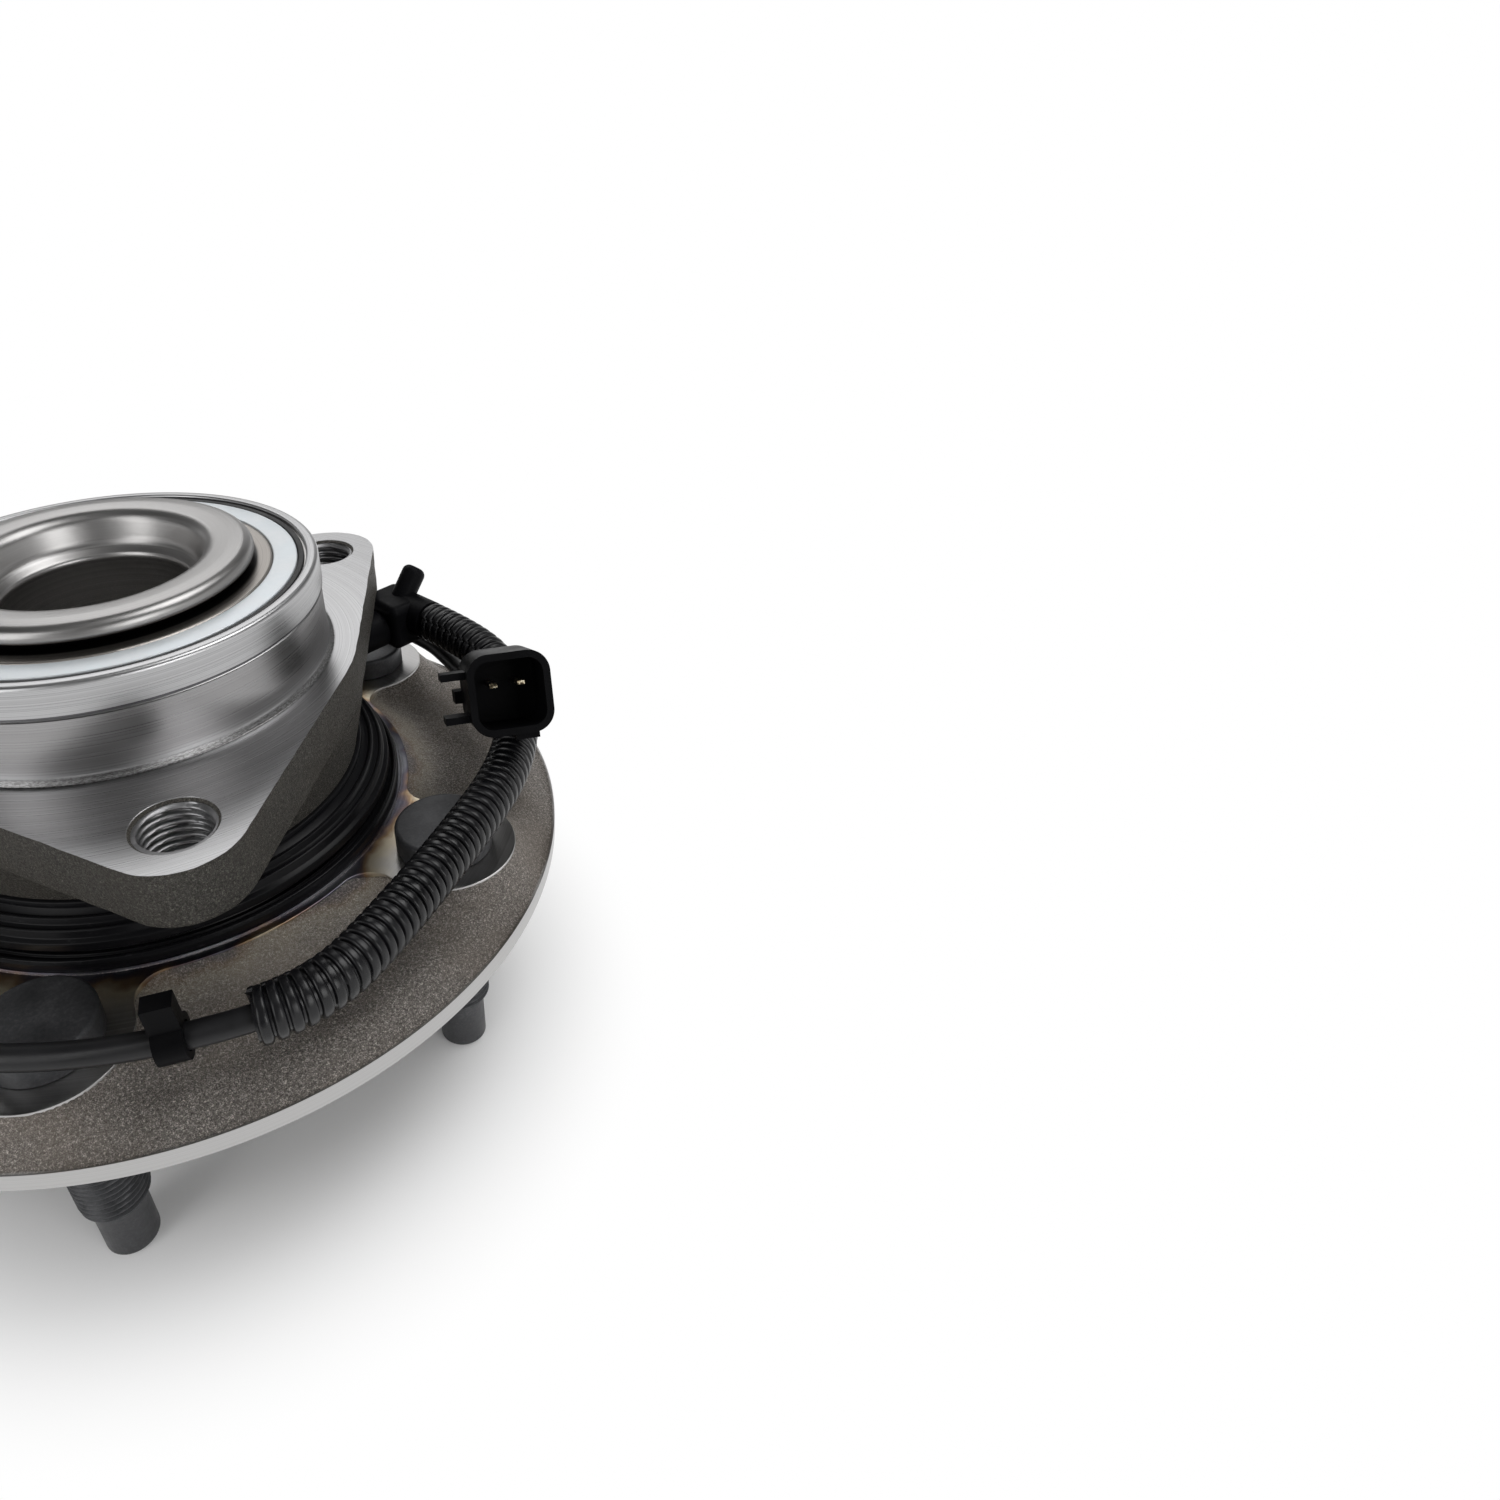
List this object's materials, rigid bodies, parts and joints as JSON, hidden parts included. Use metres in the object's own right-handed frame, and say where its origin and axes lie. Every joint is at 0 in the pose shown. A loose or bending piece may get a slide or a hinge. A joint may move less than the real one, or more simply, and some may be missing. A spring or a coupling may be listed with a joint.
{
  "type": "wheel hub bearing unit",
  "caption": "Front wheel hub bearing with a lobed knuckle flange, a studded wheel flange, a formed spindle head, a plug-in speed sensor and its sleeved cable.",
  "frame": {"origin": "on the hub axis, in the plane of the stud tips on which the unit stands", "axes": "+Z along the hub axis, inboard, to the knuckle; -Y towards one of the three knuckle lobes"},
  "size_m": [0.181, 0.181, 0.119],
  "materials": {
    "forged_ring_steel": "forged scale on the sides, ground and turned on the pilot and the flange face",
    "forged_hub_steel": "coarse forged skin, turned on the face, the rim and the pilot",
    "bearing_steel": "ground and polished",
    "black_phosphate": "black phosphate, oiled",
    "zinc_steel": "pale zinc coating",
    "pressed_steel": "pressed, bare",
    "black_coated_steel": "black coating over pressed ridges",
    "seal_rubber": "matte",
    "sensor_plastic": "fine moulded grain",
    "connector_plastic": "satin moulded",
    "terminal_metal": "tin plated",
    "cage_plastic": "glass-filled, satin",
    "cable_jacket": "smooth, satin",
    "conduit_plastic": "corrugated, satin"
  },
  "bodies": {
    "outer": {"outer_ring": "forged_ring_steel", "inboard_seal_case": "pressed_steel", "inboard_seal_rubber": "seal_rubber", "outboard_seal_case": "pressed_steel", "outboard_seal_lip": "seal_rubber", "outboard_shield": "black_coated_steel", "sensor_body": "sensor_plastic", "sensor_oring": "seal_rubber", "connector_shell": "connector_plastic", "connector_terminals": "terminal_metal", "connector_lock": "connector_plastic", "connector_gland": "seal_rubber", "cable": "cable_jacket", "conduit": "conduit_plastic", "harness_clip": "connector_plastic"},
    "hub": {"hub": "forged_hub_steel", "inboard_inner_ring": "bearing_steel", "outboard_inner_ring": "bearing_steel", "tone_ring": "pressed_steel", "inboard_slinger": "zinc_steel", "wheel_studs": "black_phosphate", "deflector": "black_coated_steel"},
    "inboard_row": {"inboard_rollers": "bearing_steel", "inboard_cage": "cage_plastic"},
    "outboard_row": {"outboard_rollers": "bearing_steel", "outboard_cage": "cage_plastic"}
  },
  "joints": [
    {"name": "hub_spin", "type": "hinge", "parent": "outer", "child": "hub", "pos_m": [0, 0, 0.094], "axis": [0, 0, 1], "continuous": true},
    {"name": "inboard_row_spin", "type": "hinge", "parent": "outer", "child": "inboard_row", "pos_m": [0, 0, 0.094], "axis": [0, 0, 1], "continuous": true},
    {"name": "outboard_row_spin", "type": "hinge", "parent": "outer", "child": "outboard_row", "pos_m": [0, 0, 0.094], "axis": [0, 0, 1], "continuous": true}
  ],
  "couplings": [
    {"joint": "inboard_row_spin", "follows": "hub_spin", "ratio": 0.4402},
    {"joint": "outboard_row_spin", "follows": "hub_spin", "ratio": 0.4402}
  ]
}
